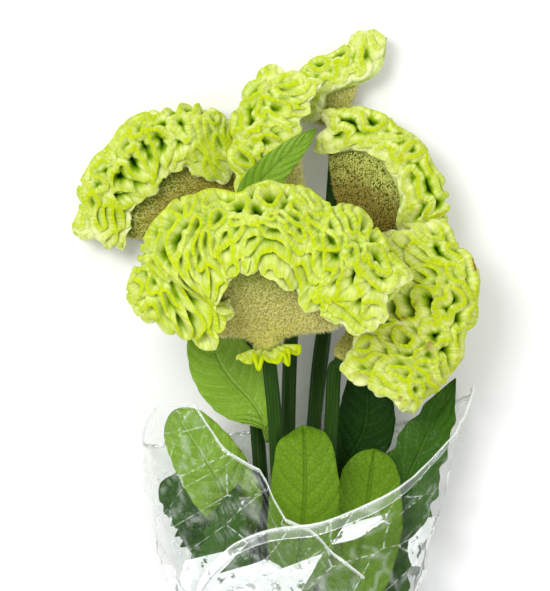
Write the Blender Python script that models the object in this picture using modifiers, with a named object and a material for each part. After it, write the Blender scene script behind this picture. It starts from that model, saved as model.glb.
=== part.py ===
"""A bunch of green cockscomb celosia in a clear film wrap, lying on its back on a table.

Lengths are in millimetres and become metres when a mesh is made. +Y runs from the cut stem ends
to the flower heads, +X is to the right seen from above, and +Z is up. The table is at Z = 0.
"""

import math

import bmesh
import bpy
import numpy as np

MM = 0.001
NAME = "celosia_bunch"

# Driving sizes of the bunch.
STEM_RADIUS = 3.7
BUNDLE_RING = 7.9  # from the middle stem to each of the five round it
BUNDLE_HEIGHT = 20.0  # of the middle stem above the table, where the band is
CUT_END_Y = -190.0
BAND_Y = -122.0
BAND_THICKNESS = 1.6
WRAP_LOW_Y = -95.0
WRAP_NECK_RADIUS = 12.4
FILM = 0.8
RIBBON = 2.0  # thickness of the folded crest
BLADE = 0.8  # thickness of a leaf
FLORET = 1.9  # height of the florets' relief on the fans
FRILL_STATIONS = 23
FRILL_SPAN = 160.0  # degrees round the stem
SEAT = 0.35  # gap between pieces that touch
STALK_SEAT = 0.6  # gap between a leaf's stalk and its stem

# Each head: the top of its stem and the way the stem points there, the curve its crest follows
# with the crest's radius at each point, the height of the folds, how far the crest reaches down
# the back and the front of the fan, the share of the fan's height at which it is full thick, the
# spacing of the crest's lines, the length of one winding, and the number of lumps.
HEADS = {
    "front": dict(
        foot=(-11, 124, 80), way=(-0.10, 0.92, 0.30),
        spine=[(-56, 157, 91, 23), (-48, 171, 96, 26), (-24, 179, 99, 27),
               (12, 176, 100, 26), (38, 159, 101, 20.5)],
        fold=11.0, back=4, front=15, full=0.75, spacing=19, winding=14, lumps=3, seed=0.3, rows=7,
    ),
    "right": dict(
        foot=(26, 121, 52), way=(0.45, 0.85, 0.20),
        spine=[(68, 176, 53, 15), (76, 157, 56, 17.5), (69, 133, 59, 19), (55, 108, 61, 15.5)],
        fold=9.0, back=3, front=27, full=0.5, spacing=17, winding=12.5, lumps=2, seed=1.7, rows=5,
    ),
    "left": dict(
        foot=(-30, 184, 17), way=(-0.25, 0.95, 0.05),
        spine=[(-97, 189, 13, 12), (-91, 209, 13, 13), (-73, 227, 15, 15),
               (-51, 233, 17, 16), (-35, 225, 18, 14)],
        fold=7.5, back=2, front=6, full=0.9, spacing=16, winding=11, lumps=3, seed=2.9, rows=7,
    ),
    "middle": dict(
        foot=(4, 190, 40), way=(0.02, 0.99, 0.05),
        spine=[(-16, 210, 45, 12), (-15, 225, 45, 15), (-11, 240, 43, 17), (-5, 252, 40, 16)],
        fold=8.0, back=2, front=13, full=0.7, spacing=16, winding=11.5, lumps=3, seed=4.1, rows=5,
    ),
    "far_right": dict(
        foot=(33, 175, 31), way=(0.35, 0.93, 0.05),
        spine=[(22, 237, 32, 9), (35, 236, 33, 10), (49, 229, 33, 10.5), (61, 216, 33, 11),
               (68, 202, 32, 11), (69, 190, 31, 10)],
        fold=6.0, back=1, front=8, full=0.95, spacing=14, winding=10, lumps=3, seed=5.2, rows=8,
    ),
    "top": dict(
        foot=(24, 236, 10), way=(0.05, 0.99, 0.10),
        spine=[(9, 246, 11, 8), (12, 259, 11, 9), (24, 266, 12, 10), (36, 271, 12, 9.5),
               (38, 280, 11, 8)],
        fold=5.5, back=1, front=4, full=0.8, spacing=12, winding=9.5, lumps=2, seed=6.4, rows=4,
    ),
}

# Each stem: the bearing of its place in the bundle, None for the middle one, and the points
# between the band and the foot of its head.
STEMS = {
    "front": dict(bearing=108, through=[(-4, 0, 47), (-7, 80, 67)]),
    "right": dict(bearing=36, through=[(13, 0, 36), (20, 80, 45)]),
    "left": dict(bearing=180, through=[(-11, 0, 22), (-17, 90, 18), (-24, 150, 16)]),
    "middle": dict(bearing=None, through=[(-1, 0, 29), (-1, 87, 36), (1, 145, 38)]),
    "far_right": dict(bearing=-36, through=[(9, 0, 23), (12, 87, 27), (18, 140, 30)]),
    "top": dict(bearing=-108, through=[(4, 0, 11), (12, 87, 9), (18, 140, 8), (21, 190, 8)]),
}

# Each leaf: the stem it grows from and the Y of its joint, the side of the stem it leaves, points
# that bend its midrib, its tip, the way its face looks, its widest half-width, how far its halves
# fold up, the height and number of its edge waves, and how blunt it ends: 1 is pointed.
LEAVES = {
    "left_tall": dict(
        stem="front", joint=80, side=(-0.8, 0, -0.6), bends=[(-17, 97, 53), (-34, 118, 50)],
        tip=(-46, 150, 47), face=(0.1, -0.1, 1), half=17, fold=0.10, wave=1.4, waves=3.0, blunt=1.0,
    ),
    "centre": dict(
        stem="front", joint=-12, side=(0.1, 0, 1), bends=[(3, 14, 62), (7, 50, 77), (7, 79, 79)],
        tip=(6, 88, 71), face=(0.0, -0.2, 1), half=17.5, fold=-0.14, wave=1.2, waves=2.5, blunt=0.8,
    ),
    "centre_right": dict(
        stem="right", joint=-22, side=(0.5, 0, 0.85), bends=[(25, -6, 45), (35, 28, 54)],
        tip=(42, 76, 51), face=(0.15, -0.1, 1), half=19, fold=0.12, wave=1.6, waves=3.0, blunt=0.82,
    ),
    "right_tall": dict(
        stem="right", joint=-38, side=(0.95, 0, -0.3), bends=[(34, -16, 33), (49, 34, 36), (64, 72, 38)],
        tip=(83, 111, 36), face=(0.15, 0, 1), half=18, fold=0.12, wave=2.2, waves=3.5, blunt=1.0,
    ),
    "right_shaded": dict(
        stem="far_right", joint=52, side=(0.95, 0, 0.3), bends=[(26, 66, 28), (38, 88, 26)],
        tip=(38, 126, 21), face=(0.1, 0.3, 1), half=15, fold=0.14, wave=1.4, waves=2.5, blunt=1.0,
    ),
    "left_upper": dict(
        stem="left", joint=26, side=(-0.9, 0, 0.45), bends=[(-27, 46, 38), (-40, 68, 49)],
        tip=(-58, 95, 47), face=(0.1, -0.1, 1), half=17, fold=0.14, wave=1.8, waves=3.0, blunt=0.85,
    ),
    "left_lower": dict(
        stem="left", joint=8, side=(-0.95, 0, 0.1), bends=[(-31, 24, 22), (-47, 46, 26)],
        tip=(-65, 58, 26), face=(0.0, 0.1, 1), half=17, fold=0.12, wave=2.2, waves=3.5, blunt=0.9,
    ),
    "centre_left": dict(
        stem="front", joint=-30, side=(-0.9, 0, 0.4), bends=[(-18, -10, 44), (-32, 18, 50)],
        tip=(-26, 58, 46), face=(-0.2, 0, 1), half=14, fold=0.12, wave=1.6, waves=2.5, blunt=1.0,
    ),
    "low_left": dict(
        stem="left", joint=-48, side=(-0.95, 0, 0.2), bends=[(-25, -34, 22), (-36, -10, 21)],
        tip=(-47, 26, 18), face=(-0.1, 0, 1), half=11, fold=0.14, wave=1.6, waves=3.0, blunt=1.0,
    ),
    "small_top": dict(
        stem="middle", joint=172, side=(-0.5, 0, 0.85), bends=[(-12, 190, 61), (-16, 206, 66)],
        tip=(13, 235, 69), face=(-0.1, -0.35, 1), half=9, fold=0.14, wave=0.6, waves=2.0, blunt=1.0,
    ),
}

# The film is one sheet wound round the bunch. Its upper edge: the Y it reaches at each bearing,
# from its inner end at the front, round by the left, the back and the right to its outer end, which
# laps over the front. 90 is the front and 270 is against the table.
FILM_EDGE = [(70, 14), (84, 26), (90, 40), (92, 54), (94, 66), (106, 78), (118, 99), (140, 98), (160, 88),
             (180, 78), (206, 76), (240, 80), (270, 84), (300, 88), (336, 98), (360, 107), (378, 98),
             (396, 80), (416, 62), (440, 46), (462, 30), (482, 12), (504, -16)]
FILM_COLUMNS, FILM_ROWS = 37, 7


def unit(vector):
    vector = np.asarray(vector, float)
    return vector / np.linalg.norm(vector)


def smooth_line(points, per_span=10):
    """A smooth curve through the points, any number of values a point."""
    points = np.asarray(points, float)
    ends = 2 * points[0] - points[1], 2 * points[-1] - points[-2]
    padded = np.vstack([ends[0], points, ends[1]])
    line = []
    for a, b, c, d in zip(padded, padded[1:], padded[2:], padded[3:]):
        for t in np.arange(per_span) / per_span:
            line.append(0.5 * (2 * b + (c - a) * t + (2 * a - 5 * b + 4 * c - d) * t**2
                               + (3 * b - a - 3 * c + d) * t**3))
    line.append(points[-1])
    return np.array(line)


def lengths_along(line):
    steps = np.linalg.norm(np.diff(line[:, :3], axis=0), axis=1)
    return np.concatenate([[0.0], np.cumsum(steps)])


def at_length(line, along, distance):
    """The point, or points, that far along a line."""
    return np.stack([np.interp(distance, along, line[:, k]) for k in range(line.shape[1])], -1)


def smoothstep(x):
    x = np.clip(x, 0, 1)
    return x * x * (3 - 2 * x)


def material(name, colour, roughness, alpha=1.0):
    made = bpy.data.materials.new(name)
    made.use_nodes = True
    shader = made.node_tree.nodes["Principled BSDF"]
    shader.inputs["Base Color"].default_value = (*colour, 1)
    shader.inputs["Roughness"].default_value = roughness
    shader.inputs["Metallic"].default_value = 0.0
    shader.inputs["Alpha"].default_value = alpha
    return made


def add_object(name, points, faces, finish, thickness=0.0):
    """An object of the finish from points in millimetres, thickened by Solidify if asked."""
    mesh = bpy.data.meshes.new(name)
    mesh.from_pydata([tuple(p * MM) for p in points], [], faces)
    mesh.materials.append(finish)
    obj = bpy.data.objects.new(name, mesh)
    collection.objects.link(obj)
    if thickness:
        solidify = obj.modifiers.new("thickness", "SOLIDIFY")
        solidify.thickness = thickness * MM
        solidify.offset = 0
    mesh.shade_smooth()
    mesh.set_sharp_from_angle(angle=math.radians(50))
    return obj


def grid_triangles(rows, columns, closed=False):
    """Triangles over a grid of points stored row by row. A closed grid joins its last column."""
    faces = []
    for r in range(rows - 1):
        for c in range(columns if closed else columns - 1):
            a, b = r * columns + c, r * columns + (c + 1) % columns
            faces += [(a, b, b + columns), (a, b + columns, a + columns)]
    return faces


def freeze(obj):
    """Gives the object its evaluated mesh and drops its modifiers."""
    bpy.context.view_layer.update()
    graph = bpy.context.evaluated_depsgraph_get()
    mesh = bpy.data.meshes.new_from_object(obj.evaluated_get(graph))
    obj.modifiers.clear()
    obj.data = mesh
    return mesh


def press_on_table(obj, soft=4.0):
    """Squeezes what lies under the height `soft` so that its lowest point is on the table."""
    mesh = freeze(obj)
    low = min(v.co.z for v in mesh.vertices) / MM
    if low >= 0:
        return
    for vertex in mesh.vertices:
        height = vertex.co.z / MM
        if height < soft:
            vertex.co.z = soft * (height - low) / (soft - low) * MM


class Head:
    """The shape of one flower head: the curve of its crest, and directions round it."""

    def __init__(self, spec):
        self.spec = spec
        self.line = smooth_line(spec["spine"])
        self.along = lengths_along(self.line)
        self.length = self.along[-1]
        self.foot = np.array(spec["foot"], float)
        self.way = unit(spec["way"])

    def frame(self, ell):
        """Centre, radius, and the ways along, outward and forward at a place along the crest."""
        inside = np.clip(ell, 0, self.length)
        here = at_length(self.line, self.along, inside)
        ahead = at_length(self.line, self.along, min(inside + 2, self.length))
        behind = at_length(self.line, self.along, max(inside - 2, 0))
        along = unit(ahead[:3] - behind[:3])
        forward = unit(np.array([0, 0, 1]) - along[2] * along)
        return here[:3], here[3], along, np.cross(forward, along), forward

    def half_thickness(self, core, share):
        """Half the fan's thickness at a share of its height."""
        return STEM_RADIUS + (core - STEM_RADIUS) * smoothstep(share / self.spec["full"])

    def crest_point(self, ell, reach, height):
        """A point of the folds. The reach is counted over the crest from its top line, below zero
        on the back, and the height is 0 at the root of a fold and 1 at its rim."""
        centre, radius, along, outward, forward = self.frame(ell)
        core = radius - self.spec["fold"]
        middle = radius - self.spec["fold"] / 2
        over = ell - np.clip(ell, 0, self.length)
        tilt = np.clip(over / middle, -1.1, 1.1)
        phi = reach / middle
        down = max(0, abs(phi) - math.pi / 2) * middle
        phi = np.clip(phi, -math.pi / 2, math.pi / 2)
        share = 1 - down / np.linalg.norm(centre - self.foot)
        root = min(core, self.half_thickness(core, share)) + 2.4 * SEAT + FLORET * smoothstep(down / 6)
        seed = self.spec["seed"]
        groove = abs(math.cos(math.pi * self.spec["lumps"] * (ell / self.length - 0.04)))
        lump = 1.03 - 0.11 * groove**6 + 0.03 * math.sin(ell * 0.37 + 2 * phi + seed)
        flare = 0.35 * smoothstep(down / 10)
        turned = math.cos(phi) * outward + math.sin(phi) * forward - flare * height * outward
        far = root + (radius * lump - core) * height
        round_it = math.sin(tilt) * along + math.cos(tilt) * turned
        return centre - down * outward + far * round_it


def winding_shape(samples, swing=1.55):
    """One winding of the crest's line, as places along and across it from -1 to 1."""
    steps = (np.arange(400) + 0.5) / 400
    angle = swing * np.sin(2 * np.pi * steps)
    along = np.concatenate([[0], np.cumsum(np.cos(angle))])
    across = np.concatenate([[0], np.cumsum(np.sin(angle))])
    pick = (np.arange(samples) * 400) // samples
    return along[pick] / along[-1], 2 * across[pick] / across.max() - 1


def crest_path(head, spacing, winding, samples):
    """The crest's line as (place along the head, reach over it, share of the line's sway that
    is across): lines along the head that wind, joined at their ends into a single one."""
    spec = head.spec
    cap = 0.72
    first, last = head.frame(0)[1], head.frame(head.length)[1]
    start, end = -cap * (first - spec["fold"] / 2), head.length + cap * (last - spec["fold"] / 2)
    widest = max(point[3] for point in spec["spine"]) - spec["fold"] / 2
    width = math.pi * widest + spec["back"] + spec["front"]
    lines = max(2, round(width / spacing))
    turns = max(3, round((end - start) / winding))
    shape_along, shape_across = winding_shape(samples)
    path = []
    for i in range(lines):
        places = [((k + a) / turns, b) for k in range(turns)
                  for a, b in zip(shape_along, shape_across)]
        places.append((1.0, -1.0))
        if i % 2:
            places = [(1 - place, sway) for place, sway in places]
        path += [(start + place * (end - start), (i + 0.5) / lines, sway, lines)
                 for place, sway in places]
        if i < lines - 1:
            side = 1 if i % 2 == 0 else -1
            edge = end if i % 2 == 0 else start
            path.append((edge + side * 0.16 * spacing, (i + 0.78) / lines, -1.0, lines))
            path.append((edge + side * 0.16 * spacing, (i + 1.12) / lines, -1.0, lines))
    return path


def crest_rows(head, spacing, winding, samples, heights):
    """Rows of points over the winding crest, one row for each height from root to rim."""
    spec = head.spec
    seed = spec["seed"]
    rows = []
    path = crest_path(head, spacing, winding, samples)
    for height in heights:
        row = []
        for ell, place, sway, lines in path:
            middle = head.frame(ell)[1] - spec["fold"] / 2
            low = -math.pi / 2 * middle - spec["back"]
            width = math.pi * middle + spec["back"] + spec["front"]
            room = (width / lines - RIBBON - 1.2) / 2
            swing = room * (0.45 + 0.55 * height) * (0.90 + 0.10 * math.sin(0.23 * ell + 9 * place))
            reach = low + place * width + sway * swing
            drift = 0.16 * winding * math.sin(0.11 * ell + 5.0 * place + seed)
            row.append(head.crest_point(ell + drift, reach, height))
        rows.append(row)
    return np.array(rows)


def add_crest(name, head):
    """The crest: one long ribbon that winds to and fro over the top of the head."""
    spec = head.spec
    rows = crest_rows(head, spec["spacing"], spec["winding"], samples=8, heights=(0.0, 1.0))
    faces = grid_triangles(len(rows), rows.shape[1])
    return add_object(f"{name}_crest", rows.reshape(-1, 3), faces, LIME, RIBBON)


def body_rings(head, rings, around):
    """Rings of points over the head's fan, from a round foot to the core inside the crest."""
    spec = head.spec
    middle = head.frame(head.length / 2)[0]
    rise = unit(middle - head.foot)
    tall = np.linalg.norm(middle - head.foot)
    power = 2 / 3.2
    forward = unit(np.array([0, 0, 1]) - head.way[2] * head.way)
    across = np.cross(head.way, forward)
    result = []
    for k in range(rings + 3):
        t = min(k / rings, 1)
        beyond = max(0, k - rings) / 3.4 * math.pi / 2
        ring = []
        for angle in 2 * math.pi * np.arange(around) / around:
            side, front = -math.cos(angle), math.sin(angle)
            side = math.copysign(abs(side) ** power, side)
            front = math.copysign(abs(front) ** power, front)
            core_end = [head.frame(e)[1] - spec["fold"] for e in (0, head.length)]
            span = head.length + sum(core_end)
            ell = (side + 1) / 2 * span - core_end[0]
            centre, radius, along, outward, ahead = head.frame(ell)
            over = ell - np.clip(ell, 0, head.length)
            core = radius - spec["fold"]
            place = centre + along * over * (1 - 0.5 * math.sin(beyond))
            place = place + outward * core * math.sin(beyond)
            reach = place - head.foot
            up = reach @ rise
            sideways = reach - up * rise
            fan = head.foot + rise * up * t + sideways * t**0.7
            half = head.half_thickness(core, t)
            fan = fan + ahead * half * front * math.cos(beyond)
            stalk = head.foot + head.way * t * tall + (STEM_RADIUS + 1.2) * (
                -math.cos(angle) * across + math.sin(angle) * forward)
            mix = smoothstep(t / 0.45)
            ring.append(stalk * (1 - mix) + fan * mix)
        result.append(ring)
    return np.array(result)


def add_body(name, head):
    """The fan under the crest. Its lower part bears florets, each a small point on the skin."""
    around, rings = 18, head.spec["rows"]
    points = body_rings(head, rings, around)
    flat = points.reshape(-1, 3)
    mesh = bmesh.new()
    verts = [mesh.verts.new(p * MM) for p in flat]
    bearing = []
    for r in range(len(points) - 1):
        for c in range(around):
            a, b = r * around + c, r * around + (c + 1) % around
            face = mesh.faces.new([verts[i] for i in (a, b, b + around, a + around)])
            if 0 < r < rings - 2 or (r == 0 and rings < 6):
                bearing.append(face)
    mesh.faces.new(verts[:around][::-1])
    top = verts[-around:]
    for c in range(1, around // 2):
        low, high = top[around - c], top[around - c - 1]
        quad = [top[c], top[c + 1], high, low] if c + 1 < around - c - 1 else [top[c], top[c + 1], low]
        mesh.faces.new(quad)
    mesh.faces.new([top[0], top[1], top[around - 1]])
    bmesh.ops.recalc_face_normals(mesh, faces=mesh.faces)
    bmesh.ops.poke(mesh, faces=bearing, offset=FLORET * MM)
    bmesh.ops.triangulate(mesh, faces=mesh.faces)
    obj = add_object(f"{name}_florets", [], [], TAN)
    mesh.to_mesh(obj.data)
    mesh.free()
    return obj


def add_frill():
    """A small strip of crest on the stem's top, below the florets of the front head."""
    head = Head(HEADS["front"])
    across = unit(np.cross(head.way, (0, 0, 1)))
    forward = np.cross(across, head.way)
    rows = []
    for height in (0.0, 1.0):
        row = []
        for k in range(FRILL_STATIONS):
            angle = math.radians(200 + FRILL_SPAN * k / (FRILL_STATIONS - 1))
            wave = math.sin(math.pi * k / 2)
            radius = STEM_RADIUS + 2.8 + height * (8 + 1.5 * math.cos(0.9 * k))
            along = 2.6 + wave * (0.8 + 1.6 * height) - 2.0 * height
            side = math.cos(angle) * across - math.sin(angle) * forward
            row.append(head.foot + head.way * along + side * radius)
        rows.append(row)
    points = np.array(rows)
    faces = grid_triangles(2, FRILL_STATIONS)
    return add_object("side_crest", points.reshape(-1, 3), faces, LIME, 1.4)


def stem_line(name):
    """The middle line of a stem, from its cut end to just under its head."""
    spec, head = STEMS[name], HEADS[name]
    offset = np.zeros(3)
    if spec["bearing"] is not None:
        bearing = math.radians(spec["bearing"])
        offset = BUNDLE_RING * np.array([math.cos(bearing), 0, math.sin(bearing)])
    band = np.array([0, BAND_Y, BUNDLE_HEIGHT]) + offset
    inner = np.array([0, BAND_Y + 40, BUNDLE_HEIGHT + 1]) + offset
    cut = np.array([0, CUT_END_Y, BUNDLE_HEIGHT - 1]) + offset * 1.08
    way = unit(head["way"])
    foot = np.array(head["foot"], float) - SEAT * way
    points = [cut, band, inner, *spec["through"], foot - 9 * way, foot - 4 * way, foot]
    return smooth_line(points, per_span=3)


def stem_at(name, y):
    line = stem_line(name)
    return np.array([np.interp(y, line[:, 1], line[:, k]) for k in range(3)])


def add_stem(name):
    """A round green stem, a curve with a round bevel."""
    curve = bpy.data.curves.new(f"{name}_stem", "CURVE")
    curve.dimensions = "3D"
    curve.bevel_depth = STEM_RADIUS * MM
    curve.bevel_resolution = 1
    curve.use_fill_caps = True
    line = stem_line(name)
    keep = np.concatenate([line[:-6:2], line[-6:-1:3], line[-1:]])
    spline = curve.splines.new("POLY")
    spline.points.add(len(keep) - 1)
    for point, place in zip(spline.points, keep):
        point.co = (*(place * MM), 1)
    curve.materials.append(GREEN)
    obj = bpy.data.objects.new(f"{name}_stem", curve)
    collection.objects.link(obj)
    return obj


def leaf_points(spec, along_count, across_count):
    """A grid of points over a leaf, from its stalk to its tip."""
    side = unit(spec["side"])
    joint = stem_at(spec["stem"], spec["joint"])
    base = joint + side * (STEM_RADIUS + STALK_SEAT + BLADE / 2)
    bends = [np.array(b, float) for b in spec["bends"]]
    line = smooth_line([base, *bends, np.array(spec["tip"], float)], per_span=8)
    along = lengths_along(line)
    face = unit(spec["face"])
    rows = []
    for u in np.linspace(0, 1, along_count):
        here = at_length(line, along, u * along[-1])
        ahead = at_length(line, along, min(u + 0.03, 1) * along[-1])
        behind = at_length(line, along, max(u - 0.03, 0) * along[-1])
        way = unit(ahead - behind)
        width_way = unit(np.cross(way, face))
        up = np.cross(width_way, way)
        blade = np.clip((u - 0.10) / 0.90, 0, 1)
        half = 1.3 + (spec["half"] - 1.3) * math.sin(math.pi * (blade * spec["blunt"]) ** 0.8) ** 0.75
        half *= math.sqrt(max(0.06, 1 - (max(u - 0.86, 0) / 0.14) ** 2.4))
        row = []
        for v in np.linspace(-1, 1, across_count):
            ripple = spec["wave"] * v * v * math.sin(2 * math.pi * (spec["waves"] * u + 0.25 * (v > 0)))
            lift = half * spec["fold"] * abs(v) ** 1.3 + ripple * smoothstep(half / 8)
            row.append(here + width_way * half * v + up * lift)
        rows.append(row)
    return np.array(rows)


def add_leaf(name, spec):
    points = leaf_points(spec, along_count=10, across_count=5)
    faces = grid_triangles(len(points), points.shape[1])
    return add_object(f"{name}_leaf", points.reshape(-1, 3), faces, LEAF_GREEN, BLADE)


def film_point(bearing, y, crumple=1.0):
    """A point of the film's inner face at a bearing round the bunch, in degrees."""
    share = np.clip((y - WRAP_LOW_Y) / 206, 0, 1.2)
    lap = 1.7 * smoothstep((bearing - 310) / 90)
    half_width = WRAP_NECK_RADIUS + 71 * share**0.54 + lap
    depth = 2 * WRAP_NECK_RADIUS + 7 * smoothstep(share / 0.1) + 52 * smoothstep(share / 0.6)
    angle = math.radians(bearing)
    across, height = math.cos(angle), math.sin(angle)
    squash = smoothstep(share / 0.2)
    across = math.copysign(abs(across) ** (1 - 0.45 * squash), across)
    floor = BUNDLE_HEIGHT - WRAP_NECK_RADIUS
    floor = floor + (FILM - floor) * squash
    if height < 0:
        flat = max(0, 1 + height * (1 + 1.6 * squash))
        height = floor + depth * 0.5 * ((1 + height) * (1 - squash) + flat**1.5 * squash)
    else:
        height = floor + depth * 0.5 * (1 + height ** (1 - 0.15 * squash))
        ridge = math.sin(math.radians(bearing * 6)) + 0.7 * math.sin(math.radians(bearing * 11 + y))
        height += lap * math.sin(angle) ** 0.5 + crumple * squash * 1.3 * ridge * math.sin(angle) ** 0.5
    shift = 2 * share + 5 * smoothstep((share - 0.6) / 0.4)
    return np.array([shift + half_width * across, y, height])


def film_edge(bearing):
    """The Y of the film's upper edge at a bearing."""
    return float(np.interp(bearing, *zip(*FILM_EDGE)))


def add_wrap():
    """The clear film: one sheet wound once round with a lap, its back flat on the table."""
    rows = []
    bearings = np.linspace(FILM_EDGE[0][0], FILM_EDGE[-1][0], FILM_COLUMNS)
    for v in np.linspace(0, 1, FILM_ROWS) ** 1.2:
        row = [film_point(b, WRAP_LOW_Y + v * (film_edge(b) - WRAP_LOW_Y)) for b in bearings]
        rows.append(row)
    points = np.array(rows)
    faces = grid_triangles(FILM_ROWS, FILM_COLUMNS)
    obj = add_object("film_wrap", points.reshape(-1, 3), [f[::-1] for f in faces], CLEAR, FILM)
    obj.modifiers["thickness"].offset = 1
    mesh = freeze(obj)
    for vertex in mesh.vertices:
        if vertex.co.z < 0.25 * FILM * MM:
            vertex.co.z = 0
    return obj


def add_band():
    """The elastic band round the stems, under the wrap."""
    radius = BUNDLE_RING + STEM_RADIUS + SEAT + BAND_THICKNESS / 2
    bpy.ops.mesh.primitive_torus_add(
        major_radius=(radius + 0.1) * MM, minor_radius=BAND_THICKNESS / 2 * MM,
        major_segments=18, minor_segments=5,
        location=(0, BAND_Y * MM, BUNDLE_HEIGHT * MM), rotation=(math.pi / 2, 0, 0))
    obj = bpy.context.object
    obj.name = "stem_band"
    obj.scale = (1, 1, 3)
    obj.data.materials.append(RUBBER)
    for linked in list(obj.users_collection):
        linked.objects.unlink(obj)
    collection.objects.link(obj)
    return obj


for old in list(bpy.data.objects):
    bpy.data.objects.remove(old)
collection = bpy.data.collections.new(NAME)
bpy.context.scene.collection.children.link(collection)

LIME = material("crest_lime", (0.55, 0.75, 0.05), 0.6)
TAN = material("floret_tan", (0.42, 0.40, 0.16), 0.9)
GREEN = material("stem_green", (0.06, 0.20, 0.02), 0.5)
LEAF_GREEN = material("leaf_green", (0.10, 0.30, 0.03), 0.5)
CLEAR = material("clear_film", (0.9, 0.95, 0.95), 0.05, alpha=0.25)
RUBBER = material("band_rubber", (0.55, 0.42, 0.22), 0.6)

for head_name, head_spec in HEADS.items():
    shape = Head(head_spec)
    crest = add_crest(head_name, shape)
    press_on_table(crest)
    add_body(head_name, shape)
    add_stem(head_name)
add_frill()
for leaf_name, leaf_spec in LEAVES.items():
    add_leaf(leaf_name, leaf_spec)
add_wrap()
add_band()
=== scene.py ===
"""The looks of the celosia bunch: crests, florets, stems, leaves, film and the studio round it.

Lengths are in millimetres and become metres when a mesh is made. +Y runs from the cut stem ends to
the flower heads, +X is to the right seen from above and +Z is up. The table is at Z = 0.
"""

import math

import bpy
import numpy as np
from mathutils.kdtree import KDTree
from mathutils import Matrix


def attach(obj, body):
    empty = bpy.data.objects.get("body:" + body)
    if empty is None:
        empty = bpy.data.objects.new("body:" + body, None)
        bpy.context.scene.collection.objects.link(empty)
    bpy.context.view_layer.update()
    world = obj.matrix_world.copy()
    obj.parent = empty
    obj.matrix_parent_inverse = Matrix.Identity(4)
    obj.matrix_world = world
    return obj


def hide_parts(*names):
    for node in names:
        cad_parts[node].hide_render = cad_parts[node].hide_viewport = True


MM = 0.001
TURN = 2 * math.pi
UP = np.array([0.0, 0.0, 1.0])

# The photograph's frame: 0.5 mm a pixel, with the middle of the picture here.
FRAME_MIDDLE = (-7.5, 152.25, 40.0)
FRAME_HEIGHT = 295.5
CAMERA_DISTANCE = 2500.0
SENSOR = 24.0

# The model's driving sizes, as in the frame.
STEM_RADIUS = 3.7
BUNDLE_RING = 7.9
BUNDLE_HEIGHT = 20.0
CUT_END_Y = -190.0
BAND_Y = -122.0
WRAP_LOW_Y = -95.0
WRAP_NECK_RADIUS = 12.4
WRAP_RISE = 206.0  # from the film's lower edge to just above its highest point
WRAP_WIDENING = 71.0  # of its half-width over that
WRAP_DEEPENING = 52.0  # of its depth over the lower part of that
FILM = 0.8
BLADE = 0.8
FLORET = 1.9  # height of the florets' relief on the fans
FRILL_QUARTERS = 22  # quarter waves of the frill
FRILL_SPAN = 160.0  # degrees round the stem
SEAT = 0.35  # gap between pieces that touch
STALK_SEAT = 0.6  # gap between a leaf's stalk and its stem

# Finer sizes that only this script has.
GRID = 0.40  # the spacing of the crest's points
PATTERN = (160, 320)  # how far a crest's pattern goes before it repeats
LOOPS = (10.5, 15.5)  # the sizes of the crest's small and large loops
SPREAD = 0.17  # how much the loops of one size differ
RIM = 1.2  # half the width of the crest's rim
PUFF = 4.2  # how far from the rim a rounded flank reaches down
LEAN = 0.30  # how far the rims lean down the head, over the height of the folds
CREST_END = 0.95  # how far a crest goes past the ends of its curve, in radii
SQUARISH = 2 / 3.2  # the power that makes a fan's rings less round
BLADE_HALF = 0.28  # half the thickness of a leaf
BLADE_EDGE = 0.12  # the same at the leaf's edge
STALK_HALF = 1.3  # half the width of a leaf's stalk
RIBS = 9  # the ribs of a stem
BAND_TURNS = 3
BAND_HALF = 0.75  # half the thickness of the elastic band
FILM_COLUMNS = 300
FILM_ROWS = 90
CUFF_ROWS = 9
LEAF_ROWS = 90
LEAF_COLUMNS = 23
CREASES = [(38, 2.2), (23, 1.5), (14, 0.7), (9, 0.4)]  # the film's crumples: wavelength, depth

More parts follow.
